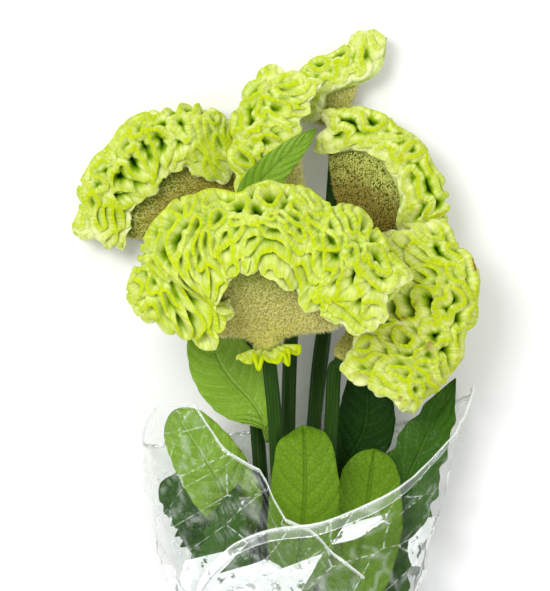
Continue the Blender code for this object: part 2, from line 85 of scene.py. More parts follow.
# Each head: the top of its stem and the way the stem points there, the curve its crest follows
# with the crest's radius at each point, how far the crest reaches down the front of the fan at
# shares of its length and how far down the back, the height of the folds, the share of the fan's
# height at which it is full thick, the number of lumps, and a seed.
HEADS = {
    "front": dict(
        foot=(-11, 124, 80), way=(-0.10, 0.92, 0.30),
        spine=[(-56, 157, 91, 23), (-48, 171, 96, 26), (-24, 179, 99, 27),
               (12, 176, 100, 26), (38, 159, 101, 20.5)],
        front=[(0, 27), (0.12, 25), (0.25, 17), (0.4, 12), (0.55, 13), (0.75, 23), (0.87, 25), (1, 21)],
        back=4, fold=11.0, full=0.75, lumps=3, seed=0.3,
    ),
    "right": dict(
        foot=(26, 121, 52), way=(0.45, 0.85, 0.20),
        spine=[(68, 176, 53, 15), (76, 157, 56, 17.5), (69, 133, 59, 19), (55, 108, 61, 15.5)],
        front=[(0, 22), (0.5, 27), (1, 29)],
        back=3, fold=9.0, full=0.5, lumps=2, seed=1.7,
    ),
    "left": dict(
        foot=(-30, 184, 17), way=(-0.25, 0.95, 0.05),
        spine=[(-97, 189, 13, 12), (-91, 209, 13, 13), (-73, 227, 15, 15),
               (-51, 233, 17, 16), (-35, 225, 18, 14)],
        front=[(0, 14), (0.2, 15), (0.4, 20), (0.6, 15), (0.8, 15), (1, 14)],
        back=2, fold=7.5, full=0.9, lumps=3, seed=2.9,
    ),
    "middle": dict(
        foot=(4, 190, 40), way=(0.02, 0.99, 0.05),
        spine=[(-16, 210, 45, 12), (-15, 225, 45, 15), (-11, 240, 43, 17), (-5, 252, 40, 16)],
        front=[(0, 13), (1, 13)],
        back=2, fold=8.0, full=0.7, lumps=3, seed=4.1,
    ),
    "far_right": dict(
        foot=(33, 175, 31), way=(0.35, 0.93, 0.05),
        spine=[(22, 237, 32, 9), (35, 236, 33, 10), (49, 229, 33, 10.5), (61, 216, 33, 11),
               (68, 202, 32, 11), (69, 190, 31, 10)],
        front=[(0, 12), (0.4, 8), (0.7, 10), (1, 14)],
        back=1, fold=6.0, full=0.95, lumps=3, seed=5.2,
    ),
    "top": dict(
        foot=(24, 236, 10), way=(0.05, 0.99, 0.10),
        spine=[(9, 246, 11, 8), (12, 259, 11, 9), (24, 266, 12, 10), (36, 271, 12, 9.5),
               (38, 280, 11, 8)],
        front=[(0, 7), (1, 9)],
        back=1, fold=5.5, full=0.8, lumps=2, seed=6.4,
    ),
}

# The crests' looks: the tint of their patches, and how brown the dried spots of the rims are.
CREST_LOOKS = {
    "front": ((0.95, 1.0, 0.8), 0.0),
    "right": ((1.0, 0.95, 0.6), 0.9),
    "left": ((0.9, 0.95, 0.7), 0.0),
    "middle": ((0.9, 0.95, 0.7), 0.0),
    "far_right": ((0.9, 0.9, 0.6), 0.4),
    "top": ((0.95, 1.0, 0.8), 0.0),
}

# The florets of each head: how many there are, their length and half-width, and their kind.
FLORETS = {
    "front": dict(count=15000, length=2.7, half=0.42, kind="tan"),
    "right": dict(count=6000, length=2.6, half=0.42, kind="tan"),
    "left": dict(count=12000, length=1.9, half=0.47, kind="brown"),
    "middle": dict(count=5000, length=2.3, half=0.42, kind="tan"),
    "far_right": dict(count=14000, length=1.9, half=0.50, kind="dark"),
    "top": dict(count=2500, length=2.0, half=0.42, kind="tan"),
}

# The colours of a fan's skin, at its foot and at the crest.
SKINS = {
    "tan": [(0.66, 0.62, 0.16), (0.34, 0.42, 0.04)],
    "brown": [(0.24, 0.18, 0.012), (0.26, 0.33, 0.03)],
    "dark": [(0.11, 0.08, 0.006), (0.07, 0.12, 0.004)],
}

# The colours of the florets at the fan's foot, in its middle and at the crest, of their tips and
# of the specks among them.
FURS = {
    "tan": [(0.72, 0.72, 0.14), (0.84, 0.80, 0.28), (0.70, 0.76, 0.18), (0.95, 0.92, 0.66),
            (0.62, 0.50, 0.14)],
    "brown": [(0.62, 0.64, 0.12), (0.42, 0.34, 0.025), (0.82, 0.88, 0.24), (0.90, 0.92, 0.50),
              (0.24, 0.14, 0.010)],
    "dark": [(0.34, 0.30, 0.03), (0.27, 0.19, 0.012), (0.74, 0.80, 0.18), (0.74, 0.76, 0.30),
             (0.13, 0.08, 0.006)],
}

# Each stem: the bearing of its place in the bundle, None for the middle one, and the points
# between the band and the foot of its head.
STEMS = {
    "front": dict(bearing=108, through=[(-4, 0, 47), (-7, 80, 67)]),
    "right": dict(bearing=36, through=[(13, 0, 36), (20, 80, 45)]),
    "left": dict(bearing=180, through=[(-11, 0, 22), (-17, 90, 18), (-24, 150, 16)]),
    "middle": dict(bearing=None, through=[(-1, 0, 29), (-1, 87, 36), (1, 145, 38)]),
    "far_right": dict(bearing=-36, through=[(9, 0, 23), (12, 87, 27), (18, 140, 30)]),
    "top": dict(bearing=-108, through=[(4, 0, 11), (12, 87, 9), (18, 140, 8), (21, 190, 8)]),
}

# Each leaf: the stem it grows from and the Y of its joint, the side of the stem it leaves, points
# that bend its midrib, its tip, the way its face looks, its widest half-width, how far its halves
# fold up, the height and number of its edge waves, how blunt its tip is, 1 being a point, and its
# look.
LEAVES = {
    "left_tall": dict(
        stem="front", joint=80, side=(-0.8, 0, -0.6), bends=[(-17, 97, 53), (-34, 118, 50)],
        tip=(-46, 150, 47), face=(0.1, -0.1, 1), half=17, fold=0.10, wave=1.4, waves=3.0, blunt=1.0,
        look="bright",
    ),
    "centre": dict(
        stem="front", joint=-12, side=(0.1, 0, 1), bends=[(3, 14, 62), (7, 50, 77), (7, 79, 79)],
        tip=(6, 88, 71), face=(0.0, -0.2, 1), half=17.5, fold=-0.14, wave=1.2, waves=2.5, blunt=0.8,
        look="under",
    ),
    "centre_right": dict(
        stem="right", joint=-22, side=(0.5, 0, 0.85), bends=[(25, -6, 45), (35, 28, 54)],
        tip=(42, 76, 51), face=(0.15, -0.1, 1), half=19, fold=0.12, wave=1.6, waves=3.0, blunt=0.82,
        look="under",
    ),
    "right_tall": dict(
        stem="right", joint=-38, side=(0.95, 0, -0.3), bends=[(34, -16, 33), (49, 34, 36), (64, 72, 38)],
        tip=(83, 111, 36), face=(0.15, 0, 1), half=18, fold=0.12, wave=2.2, waves=3.5, blunt=1.0,
        look="dark",
    ),
    # Its look paints the shadow it lies in.
    "right_shaded": dict(
        stem="far_right", joint=52, side=(0.95, 0, 0.3), bends=[(26, 66, 28), (38, 88, 26)],
        tip=(38, 126, 21), face=(0.1, 0.3, 1), half=15, fold=0.14, wave=1.4, waves=2.5, blunt=1.0,
        look="deep_shade",
    ),
    "left_upper": dict(
        stem="left", joint=26, side=(-0.9, 0, 0.45), bends=[(-27, 46, 38), (-40, 68, 49)],
        tip=(-58, 95, 47), face=(0.1, -0.1, 1), half=17, fold=0.14, wave=1.8, waves=3.0, blunt=0.85,
        look="bright",
    ),
    "left_lower": dict(
        stem="left", joint=8, side=(-0.95, 0, 0.1), bends=[(-31, 24, 22), (-47, 46, 26)],
        tip=(-65, 58, 26), face=(0.0, 0.1, 1), half=17, fold=0.12, wave=2.2, waves=3.5, blunt=0.9,
        look="dark",
    ),
    "centre_left": dict(
        stem="front", joint=-30, side=(-0.9, 0, 0.4), bends=[(-18, -10, 44), (-32, 18, 50)],
        tip=(-26, 58, 46), face=(-0.2, 0, 1), half=14, fold=0.12, wave=1.6, waves=2.5, blunt=1.0,
        look="dark",
    ),
    "low_left": dict(
        stem="left", joint=-48, side=(-0.95, 0, 0.2), bends=[(-25, -34, 22), (-36, -10, 21)],
        tip=(-47, 26, 18), face=(-0.1, 0, 1), half=11, fold=0.14, wave=1.6, waves=3.0, blunt=1.0,
        look="dark",
    ),
    "small_top": dict(
        stem="middle", joint=172, side=(-0.5, 0, 0.85), bends=[(-12, 190, 61), (-16, 206, 66)],
        tip=(13, 235, 69), face=(-0.1, -0.35, 1), half=9, fold=0.14, wave=0.6, waves=2.0, blunt=1.0,
        look="bright",
    ),
}

# The leaves' looks: the colours of the blade, its paler patches and its veins, how rough and how
# glossy its face is, how deep its teeth are, and its slot.
LEAF_LOOKS = {
    "bright": dict(blade=(0.145, 0.30, 0.008), pale=(0.22, 0.39, 0.03), vein=(0.31, 0.48, 0.08),
                   rough=0.38, gloss=0.2, teeth=0.3, slot="leaf_green"),
    "under": dict(blade=(0.10, 0.21, 0.003), pale=(0.13, 0.26, 0.010), vein=(0.06, 0.13, 0.004),
                  rough=0.5, gloss=0.12, teeth=0.2, slot="leaf_green"),
    "dark": dict(blade=(0.016, 0.075, 0.002), pale=(0.038, 0.12, 0.005), vein=(0.08, 0.17, 0.02),
                 rough=0.35, gloss=0.14, teeth=2.2, slot="leaf_dark"),
    # Painted shade: a near-black green for a leaf that lies in shadow under the heads.
    "deep_shade": dict(blade=(0.006, 0.034, 0.002), pale=(0.012, 0.055, 0.003), vein=(0.03, 0.09, 0.012),
                 rough=0.4, gloss=0.10, teeth=0.3, slot="leaf_dark"),
}

# The film is one sheet wound round the bunch. Its upper edge: the Y it reaches at each bearing,
# from its inner end at the front, round by the left, the back and the right to its outer end. Its
# cuff: how wide a strip is folded over there.
FILM_EDGE = [(70, 14), (84, 26), (90, 40), (92, 54), (94, 66), (106, 78), (118, 99), (140, 98),
             (160, 88), (180, 78), (206, 76), (240, 80), (270, 84), (300, 88), (336, 98), (360, 107),
             (378, 98), (396, 80), (416, 62), (440, 46), (462, 30), (482, 12), (504, -16)]
CUFF = [(70, 1), (180, 1), (330, 1), (356, 3), (390, 5), (430, 6.5), (470, 5), (504, 4)]

# The studio: the floor's half-width and depth below the table, the sky's strength, and for each
# lamp its place and size in metres, its turn in degrees and its power.
FLOOR_HALF = 1500.0
FLOOR_DROP = 0.3
SKY = 0.82
LAMPS = {
    "key": dict(place=(-0.55, 0.55, 1.5), turn=(-18, -20, 0), size=(0.7, 0.5), power=14.0),
    "fill": dict(place=(0.9, -0.2, 1.3), turn=(10, 33, 0), size=(0.9, 0.6), power=3.0),
}


def unit(vector):
    vector = np.asarray(vector, float)
    return vector / np.linalg.norm(vector, axis=-1, keepdims=True)


def smoothstep(x):
    x = np.clip(x, 0, 1)
    return x * x * (3 - 2 * x)


def signed_power(x, power):
    return np.sign(x) * np.abs(x) ** power


def smooth_line(points, per_span=10):
    """A smooth curve through the points, any number of values a point."""
    points = np.asarray(points, float)
    ends = 2 * points[0] - points[1], 2 * points[-1] - points[-2]
    padded = np.vstack([ends[0], points, ends[1]])
    t = (np.arange(per_span) / per_span)[:, None]
    line = [0.5 * (2 * b + (c - a) * t + (2 * a - 5 * b + 4 * c - d) * t**2
                   + (3 * b - a - 3 * c + d) * t**3)
            for a, b, c, d in zip(padded, padded[1:], padded[2:], padded[3:])]
    return np.vstack([*line, points[-1:]])


def round_angles(count):
    """The angles of a full turn in that many steps, with its start again at the end."""
    return TURN * np.arange(count + 1) / count


def lengths_along(line):
    steps = np.linalg.norm(np.diff(line[:, :3], axis=0), axis=1)
    return np.concatenate([[0.0], np.cumsum(steps)])


def at_length(line, along, distance):
    """The point, or points, that far along a line."""
    return np.stack([np.interp(distance, along, line[:, k]) for k in range(line.shape[1])], -1)


def place_and_way(line, along, distance, step):
    """The points at distances along a line, and the ways it runs there."""
    here = at_length(line, along, distance)
    ahead = at_length(line, along, np.minimum(distance + step, along[-1]))
    behind = at_length(line, along, np.maximum(distance - step, 0))
    return here, unit(ahead[..., :3] - behind[..., :3])


def between(first, second, angle):
    """The ways at angles from the first way towards the second."""
    return np.cos(angle)[:, None] * first + np.sin(angle)[:, None] * second


def wander(a, b, seed, sizes):
    """A smooth uneven drift over a surface, with a wave for each (wavelength, amount)."""
    rng = np.random.default_rng(seed)
    drift = 0.0
    for wavelength, amount in sizes:
        bearing, phase = rng.uniform(0, TURN, 2)
        run = a * math.cos(bearing) + b * math.sin(bearing)
        drift = drift + amount * np.sin(TURN * run / wavelength + phase)
    return drift


def grid_faces(rows, columns, closed=False):
    """Quads over a grid of points stored row by row. A closed grid joins its last row to its first."""
    r = np.arange(rows if closed else rows - 1)[:, None]
    c = np.arange(columns - 1)[None, :]
    low, high = r * columns + c, (r + 1) % rows * columns + c
    return np.stack([low, low + 1, high + 1, high], -1).reshape(-1, 4)


def per_point(points, values):
    """A row of numbers for each point, from values that are one number or spread over the points."""
    spread = [np.broadcast_to(value, points.shape[:-1]) for value in values]
    return np.stack(spread, -1).reshape(-1, len(values)).astype(np.float32)


def new_object(name, data):
    obj = bpy.data.objects.new(name, data)
    bpy.context.scene.collection.objects.link(obj)
    return obj


def add_piece(name, points, finish, faces=None, uv=None, marks=None, nodes=()):
    """A piece of the object from points in millimetres, in place of the named nodes. A plain grid
    of points needs no faces. The marks are four numbers a point that the material reads."""
    if faces is None:
        faces = grid_faces(*points.shape[:2])
    mesh = bpy.data.meshes.new(name)
    mesh.from_pydata(points.reshape(-1, 3) * MM, [], faces)
    if uv is not None:
        corners = np.empty(len(mesh.loops), dtype=np.int32)
        mesh.loops.foreach_get("vertex_index", corners)
        layer = mesh.uv_layers.new(name="UVMap")
        layer.data.foreach_set("uv", per_point(points, uv)[corners].ravel())
    if marks is not None:
        layer = mesh.color_attributes.new("marks", "FLOAT_COLOR", "POINT")
        layer.data.foreach_set("color", per_point(points, marks).ravel())
    mesh.materials.append(finish)
    mesh.shade_smooth()
    obj = new_object(name, mesh)
    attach(obj, "root")
    if nodes:
        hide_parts(*nodes)
    return obj


def pressed_on_table(points, soft=4.0):
    """The points with what lies under the height `soft` squeezed to rest on the table."""
    low = points[..., 2].min()
    if low < 0:
        height = points[..., 2]
        points[..., 2] = np.where(height < soft, soft * (height - low) / (soft - low), height)
    return points


def reckon(operation):
    """A method that joins a value to another value or to a number by a math node."""
    return lambda value, other: value.shader.math(operation, value, other)


class Value:
    """An output of a node. Arithmetic with it adds math nodes to its material."""

    __add__ = reckon("ADD")
    __sub__ = reckon("SUBTRACT")
    __mul__ = reckon("MULTIPLY")
    __pow__ = reckon("POWER")

    def __init__(self, shader, socket):
        self.shader = shader
        self.socket = socket

    def __rsub__(self, other):
        return self.shader.math("SUBTRACT", other, self)

    def ramp(self, *stops):
        """A colour or grey for this number, from stops of (place, colour)."""
        result = self.shader.add("ValToRGB", Fac=self)
        marks = result.socket.node.color_ramp.elements
        while len(marks) < len(stops):
            marks.new(0.5)
        for mark, (place, colour) in zip(marks, stops):
            mark.position = place
            mark.color = (*colour, 1) if isinstance(colour, tuple) else (colour, colour, colour, 1)
        return result


class Shader:
    """A new material with short ways to add and join its nodes."""

    def __init__(self, name):
        self.material = bpy.data.materials.new(name)
        self.material.use_nodes = True
        self.tree = self.material.node_tree
        self.tree.nodes.clear()

    def add(self, kind, output=0, settings=(), **inputs):
        """One output of a new node. The node's inputs are numbers, colours or other outputs, by
        name with _ for a space, or by in and a number."""
        node = self.tree.nodes.new("ShaderNode" + kind)
        for key, value in dict(settings).items():
            setattr(node, key, value)
        for key, value in inputs.items():
            self.plug(node, key.replace("_", " "), value)
        return Value(self, node.outputs[output])

    def plug(self, node, key, value):
        socket = node.inputs[int(key[2:]) if key.startswith("in") and key[2:].isdigit() else key]
        if isinstance(value, Value):
            self.tree.links.new(value.socket, socket)
        elif isinstance(value, tuple) and socket.type == "RGBA":
            socket.default_value = (*value, 1)
        else:
            socket.default_value = value

    def parts(self, kind, **inputs):
        """All outputs of a node that takes a colour or a vector apart."""
        first = self.add(kind, **inputs)
        return [Value(self, socket) for socket in first.socket.node.outputs]

    def math(self, operation, a, b=0.0, clamp=False):
        return self.add("Math", settings=dict(operation=operation, use_clamp=clamp), in0=a, in1=b)

    def uv(self):
        """The two numbers of the UV map."""
        return self.parts("SeparateXYZ", Vector=self.add("UVMap"))[:2]

    def marks(self):
        """The four numbers that the piece gives each point."""
        colour = self.add("Attribute", "Color", dict(attribute_name="marks"))
        last = Value(self, colour.socket.node.outputs["Alpha"])
        return [*self.parts("SeparateColor", Color=colour), last]

    def place(self):
        """The point's place on the object, in metres."""
        return self.add("TexCoord", "Object")

    def noise(self, where, scale, detail=3.0, roughness=0.5):
        return self.add("TexNoise", "Fac", Vector=where, Scale=scale, Detail=detail,
                        Roughness=roughness)

    def cell_edges(self, where, scale):
        """The distance to the nearest border between uneven cells."""
        return self.add("TexVoronoi", "Distance", dict(feature="DISTANCE_TO_EDGE"), Vector=where,
                        Scale=scale)

    def mix(self, share, a, b, blend="MIX"):
        settings = dict(data_type="RGBA", blend_type=blend)
        return self.add("Mix", 2, settings, in0=share, in6=a, in7=b)

    def bump(self, height, distance, strength=1.0):
        return self.add("Bump", Height=height, Distance=distance, Strength=strength)

    def solid(self, colour, roughness, gloss, normal=None, sheen=0.0):
        """The material, finished as an opaque one."""
        surface = self.add("BsdfPrincipled", Base_Color=colour, Roughness=roughness,
                           Specular_IOR_Level=gloss, Sheen_Weight=sheen)
        if normal is not None:
            self.plug(surface.socket.node, "Normal", normal)
        return self.finish(surface)

    def finish(self, surface):
        output = self.tree.nodes.new("ShaderNodeOutputMaterial")
        self.plug(output, "Surface", surface)
        return self.material


def crest_material(name, tint, dried):
    """Velvety pale flanks under a bright lime rim. Down the folds the crest's own green darkens, and
    into the funnels it turns to painted shade. The marks hold the distance from the rim over 6 mm,
    the height, 1 outside the bends and how near the front's lower margin is, where the crest gets
    whitish."""
    shader = Shader(name)
    away, height, outside, margin = shader.marks()
    place = shader.place()
    foot = shader.add("UVMap")
    fine = shader.noise(place, 1400.0, 2.0, 0.6)
    soft = shader.noise(place, 260.0, 3.0, 0.6)
    streak = shader.noise(foot, 13.0, 2.0, 0.7)
    deep_shade = height + (soft - 0.5) * 0.20 + outside * 0.08
    # Painted shade: the lowest stops of this ramp, near-black green, darken the funnels where the folds
    # shade them; the higher stops are the crest's own greens.
    flank = deep_shade.ramp(
        (0.13, (0.008, 0.038, 0.001)), (0.33, (0.10, 0.23, 0.001)), (0.51, (0.31, 0.47, 0.006)),
        (0.70, (0.54, 0.67, 0.05)), (0.90, (0.70, 0.79, 0.17)), (1.00, (0.53, 0.65, 0.04)))
    velvet = streak.ramp((0.40, 0.0), (0.62, 1.0)) * deep_shade.ramp((0.52, 0.0), (0.76, 0.70))
    fringe = margin * streak.ramp((0.32, 0.3), (0.60, 0.9))
    velvet = shader.math("MAXIMUM", velvet, fringe * deep_shade.ramp((0.4, 0.0), (0.7, 1.0)))
    flank = shader.mix(velvet, flank, (0.91, 0.94, 0.54))
    rim = (away + (soft - 0.5) * 0.22).ramp((0.09, 1.0), (0.30, 0.0))
    rim = rim * height.ramp((0.45, 0.0), (0.75, 1.0))
    rim = rim * shader.noise(place, 110.0, 2.0).ramp((0.38, 0.50), (0.52, 1.0))
    rim = rim * (1.0 - fringe * 0.55)
    limes = streak.ramp((0.35, 0.0), (0.65, 1.0))
    lime = shader.mix(limes, (0.42, 0.56, 0.003), (0.58, 0.68, 0.010))
    spots = shader.noise(place, 75.0, 3.0, 0.6).ramp((0.60, 0.0), (0.68, dried))
    lime = shader.mix(spots, lime, (0.20, 0.075, 0.010))
    colour = shader.mix(rim, flank, lime)
    patches = shader.noise(place, 45.0, 2.0).ramp((0.35, 0.0), (0.65, 1.0))
    colour = shader.mix(patches * 0.35, colour, tint, "MULTIPLY")
    normal = shader.bump(fine + streak * 0.9, 0.0007, 0.7)
    return shader.solid(colour, 0.65, 0.04, normal, sheen=0.015)


def floret_material(name, foot, middle, top, tips, speck):
    """Bristles: the marks hold their share of the fan's height, a random number, and how near the
    tip the point is."""
    shader = Shader(name)
    share, chance, tip, _ = shader.marks()
    mottle = shader.noise(shader.place(), 60.0, 2.0)
    place = share + (mottle - 0.5) * 0.35 + (chance - 0.5) * 0.22
    base = place.ramp((0.10, foot), (0.30, middle), (0.52, middle), (0.72, top))
    specks = chance.ramp((0.74, 0.0), (0.82, 0.85)) * place.ramp((0.45, 1.0), (0.72, 0.3))
    colour = shader.mix(specks, base, speck)
    paler = tip.ramp((0.30, 0.0), (1.0, 1.0)) * place.ramp((0.35, 0.30), (0.80, 0.90))
    colour = shader.mix(paler, colour, tips)
    # Painted shade: each bristle darker towards its base, where the bristles shade one another.
    colour = shader.mix(1.0, colour, tip.ramp((0.0, 0.80), (0.5, 1.0)), "MULTIPLY")
    return shader.solid(colour, 0.75, 0.12)


def body_material(name, low, high):
    """The skin between the bristles, darker than they are. The first mark is the share of the
    fan's height."""
    shader = Shader(name)
    share = shader.marks()[0]
    grain = shader.noise(shader.place(), 900.0, 3.0)
    colour = share.ramp((0.15, low), (0.9, high))
    colour = shader.mix(grain.ramp((0.35, 0.0), (0.7, 0.6)), colour, (0.02, 0.04, 0.004))
    return shader.solid(colour, 0.8, 0.2, shader.bump(grain, 0.0008))


def stem_material(name):
    """Green ribbed stalk with pale fine lines along it. The first mark is 1 on the cut face."""
    shader = Shader(name)
    along, around = shader.uv()
    cut = shader.marks()[0]
    lines = shader.noise(shader.add("CombineXYZ", X=along * 0.25, Y=around * 46.0), 1.0, 3.0)
    blotch = shader.noise(shader.place(), 40.0, 3.0)
    green = lines.ramp((0.35, (0.004, 0.024, 0.001)), (0.58, (0.014, 0.058, 0.001)),
                       (0.78, (0.07, 0.15, 0.008)))
    green = shader.mix(blotch * 0.2, green, (0.04, 0.10, 0.006))
    pith = shader.noise(shader.place(), 1300.0, 2.0)
    inner = pith.ramp((0.35, (0.42, 0.50, 0.22)), (0.70, (0.68, 0.72, 0.46)))
    colour = shader.mix(cut.ramp((0.45, 0.0), (0.55, 1.0)), green, inner)
    return shader.solid(colour, 0.42, 0.12, shader.bump(lines + pith * 0.3, 0.0003))


def leaf_material(name, look):
    """A leaf: a midrib, side veins that arch forward, a net between them and soft mottling. The UV
    map runs from stalk to tip and across from -1 to 1. The first mark is 1 on the face."""
    shader = Shader(name)
    along, across = shader.uv()
    face = shader.marks()[0]
    away = shader.math("ABSOLUTE", across)
    place = shader.place()
    drift = shader.noise(place, 70.0, 2.0) * 0.05
    run = along + drift - away**1.4 * 0.16
    wave = shader.math("PINGPONG", run * 13.0, 0.5)
    side_veins = wave.ramp((0.0, 1.0), (0.10, 0.0))
    midrib = away.ramp((0.0, 1.0), (0.035, 0.9), (0.075, 0.0))
    veins = shader.math("MAXIMUM", side_veins, midrib)
    net = shader.cell_edges(place, 420.0).ramp((0.0, 1.0), (0.10, 0.0))
    mottle = shader.noise(place, 55.0, 3.0).ramp((0.35, 0.0), (0.68, 1.0))
    colour = shader.mix(mottle, look["blade"], look["pale"])
    colour = shader.mix(net * 0.25, colour, look["vein"])
    colour = shader.mix(veins * 0.75, colour, look["vein"])
    colour = shader.mix(face * 0.35, colour, look["pale"])
    relief = wave * 1.2 + net * -0.18 - midrib * 0.6
    return shader.solid(colour, look["rough"], look["gloss"], shader.bump(relief, 0.0011))


def film_material(name):
    """Clear crumpled film: it lets what is behind it through. White is painted on some of its facets,
    along the lines between them and at its edges as highlights, and as a hazy white on its creases
    and where it is folded over. The marks hold the folded strip, its edges and the creases."""
    shader = Shader(name)
    cuff, edge, crease, _ = shader.marks()
    place = shader.place()
    crinkle = shader.noise(place, 130.0, 3.0, 0.6)
    fine = shader.noise(place, 420.0, 2.0)
    normal = shader.bump(crinkle + fine * 0.2, 0.004, 0.6)
    facing = shader.add("LayerWeight", "Facing", Blend=0.3, Normal=normal)
    clear = shader.add("BsdfTransparent", Color=(0.97, 0.98, 0.97))
    gloss = shader.add("BsdfGlossy", Color=(1.0, 1.0, 1.0), Roughness=0.09, Normal=normal)
    # Flat white, painted on the film as its highlights and as a hazy white on the creases and the cuff.
    glare_and_haze_white = shader.add("BsdfDiffuse", Color=(0.86, 0.90, 0.88), Normal=normal)
    shine = shader.math("ADD", facing**2.0 * 0.09 + 0.01, edge * 0.35, clamp=True)
    lit = shader.add("MixShader", Fac=shine, in1=clear, in2=gloss)
    turned = shader.add("Mapping", Vector=place, Rotation=(0.0, 0.0, -0.6))
    stretched = shader.add("Mapping", Vector=turned, Scale=(0.55, 1.4, 1.0))
    cells = shader.add("TexVoronoi", "Color", Vector=stretched, Scale=48.0)
    pick, _, _ = shader.parts("SeparateColor", Color=cells)
    x, y, _ = shader.parts("SeparateXYZ", Vector=place)
    # Painted highlights: the white facets are likeliest low over the leaves, and reach higher at the
    # right.
    level = y * 5.0 - x * 1.25 + 0.5
    likely = level.ramp((0.30, 0.12), (0.50, 0.38), (0.66, 0.38), (0.73, 0.0))
    glare = (pick + likely).ramp((0.0, 0.0), (0.90, 0.02), (0.980, 0.04), (0.985, 0.80))
    glare = glare * crinkle.ramp((0.40, 0.12), (0.44, 1.0))
    # Painted highlights: thin white lines between the facets.
    border_highlights = shader.cell_edges(stretched, 48.0).ramp((0.0, 0.55), (0.018, 0.0))
    border_highlights = border_highlights * fine.ramp((0.42, 0.0), (0.58, 1.0))
    # The share of painted white: highlights on facets, between them and at the edges, and hazy white on
    # the cuff and creases.
    glare_and_haze = glare + cuff * 0.12 + border_highlights + edge * 0.45
    glare_and_haze = shader.math("ADD", glare_and_haze, crease * 0.22, clamp=True)
    return shader.finish(shader.add("MixShader", Fac=glare_and_haze, in1=lit, in2=glare_and_haze_white))


def band_material(name):
    shader = Shader(name)
    along, _ = shader.uv()
    grain = shader.noise(shader.place(), 700.0, 3.0)
    colour = grain.ramp((0.3, (0.40, 0.27, 0.12)), (0.7, (0.58, 0.42, 0.20)))
    ridges = shader.math("SINE", along * 55.0)
    return shader.solid(colour, 0.55, 0.4, shader.bump(grain + ridges * 0.2, 0.0003))


def floor_material(name):
    shader = Shader(name)
    grain = shader.noise(shader.place(), 30.0, 3.0)
    return shader.solid(grain.ramp((0.3, 0.94), (0.7, 0.96)), 0.9, 0.1)


class Head:
    """The shape of one flower head: the curve of its crest, and directions round it."""

    def __init__(self, spec):
        self.spec = spec
        self.line = smooth_line(spec["spine"])
        self.along = lengths_along(self.line)
        self.length = self.along[-1]
        self.foot = np.array(spec["foot"], float)
        self.way = unit(spec["way"])

    def frame(self, ell):
        """Centre, radius, and the ways along, outward and forward at places along the crest."""
        inside = np.clip(ell, 0, self.length)
        here, along = place_and_way(self.line, self.along, inside, 2)
        forward = unit(UP - along[..., 2:] * along)
        return here[..., :3], here[..., 3:], along, np.cross(forward, along), forward

    def end_radii(self, inset):
        """The radius at the crest's two ends, less an inset."""
        return [self.frame(end)[1][0] - inset for end in (0, self.length)]

    def half_thickness(self, core, share):
        """Half the fan's thickness at a share of its height."""
        return STEM_RADIUS + (core - STEM_RADIUS) * smoothstep(share / self.spec["full"])

    def crest_point(self, ell, reach, height):
        """Points of the folds. The reach is counted over the crest from its top line, below zero
        on the back, and the height is 0 at the root of a fold and 1 at its rim."""
        centre, radius, along, outward, forward = self.frame(ell)
        over = (ell - np.clip(ell, 0, self.length))[..., None]
        ell, reach, height = ell[..., None], reach[..., None], height[..., None]
        core = radius - self.spec["fold"]
        middle = radius - self.spec["fold"] / 2
        tilt = np.clip(over / middle, -1.4, 1.4)
        phi = reach / middle
        down = np.maximum(0, np.abs(phi) - math.pi / 2) * middle
        phi = np.clip(phi, -math.pi / 2, math.pi / 2)
        share = 1 - down / np.linalg.norm(centre - self.foot, axis=-1, keepdims=True)
        root = np.minimum(core, self.half_thickness(core, share)) + 2.4 * SEAT
        root = root + FLORET * smoothstep(down / 6)
        groove = np.abs(np.cos(math.pi * self.spec["lumps"] * (ell / self.length - 0.04)))
        lump = 1.04 - 0.15 * groove**6 + 0.03 * np.sin(ell * 0.37 + 2 * phi + self.spec["seed"])
        turned = np.cos(phi) * outward + np.sin(phi) * forward
        turned = turned - 0.28 * smoothstep(down / 12) * height * outward
        far = root + (radius * lump - core) * height
        return centre - down * outward + far * (np.sin(tilt) * along + np.cos(tilt) * turned)


def sample(field, row, column):
    """The values of a grid between its points. It repeats past its ends."""
    top, left = np.floor(row).astype(int), np.floor(column).astype(int)
    shape = row.shape + (1,) * (field.ndim - 2)
    low, right = (row - top).reshape(shape), (column - left).reshape(shape)
    rows, columns = field.shape[:2]
    a, b, c, d = [field[(top + i) % rows, (left + j) % columns] for i in (0, 1) for j in (0, 1)]
    return (a * (1 - right) + b * right) * (1 - low) + (c * (1 - right) + d * right) * low


def pitches(shape, step):
    """The waves a millimetre of each term of a field's transform."""
    down, across = [np.fft.fftfreq(count, step) for count in shape]
    return np.hypot(down[:, None], across[None, :])


def even_pattern(down, run, size, seed):
    """Uneven waves of about one size in every direction, at places given in millimetres."""
    rng = np.random.default_rng(seed)
    ring = np.exp(-((pitches(PATTERN, 1.0) * size - 1) / SPREAD) ** 2)
    field = np.fft.ifft2(np.fft.fft2(rng.normal(size=PATTERN)) * ring).real
    return sample(field, down, run) / field.std()


def soften(field, step, size):
    """A field blurred over about that size in millimetres."""
    blur = np.exp(-2 * (math.pi * pitches(field.shape, step) * size) ** 2)
    return np.fft.ifft2(np.fft.fft2(field) * blur).real


def crossings(field):
    """Where a field on a grid is zero, as (row, column) with fractions."""
    points = []
    for axis in (0, 1):
        a = field[:-1] if axis == 0 else field[:, :-1]
        b = field[1:] if axis == 0 else field[:, 1:]
        rows, columns = np.nonzero(a * b < 0)
        share = a[rows, columns] / (a[rows, columns] - b[rows, columns])
        points.append(np.stack([rows + share * (axis == 0), columns + share * (axis == 1)], -1))
    return np.concatenate(points)


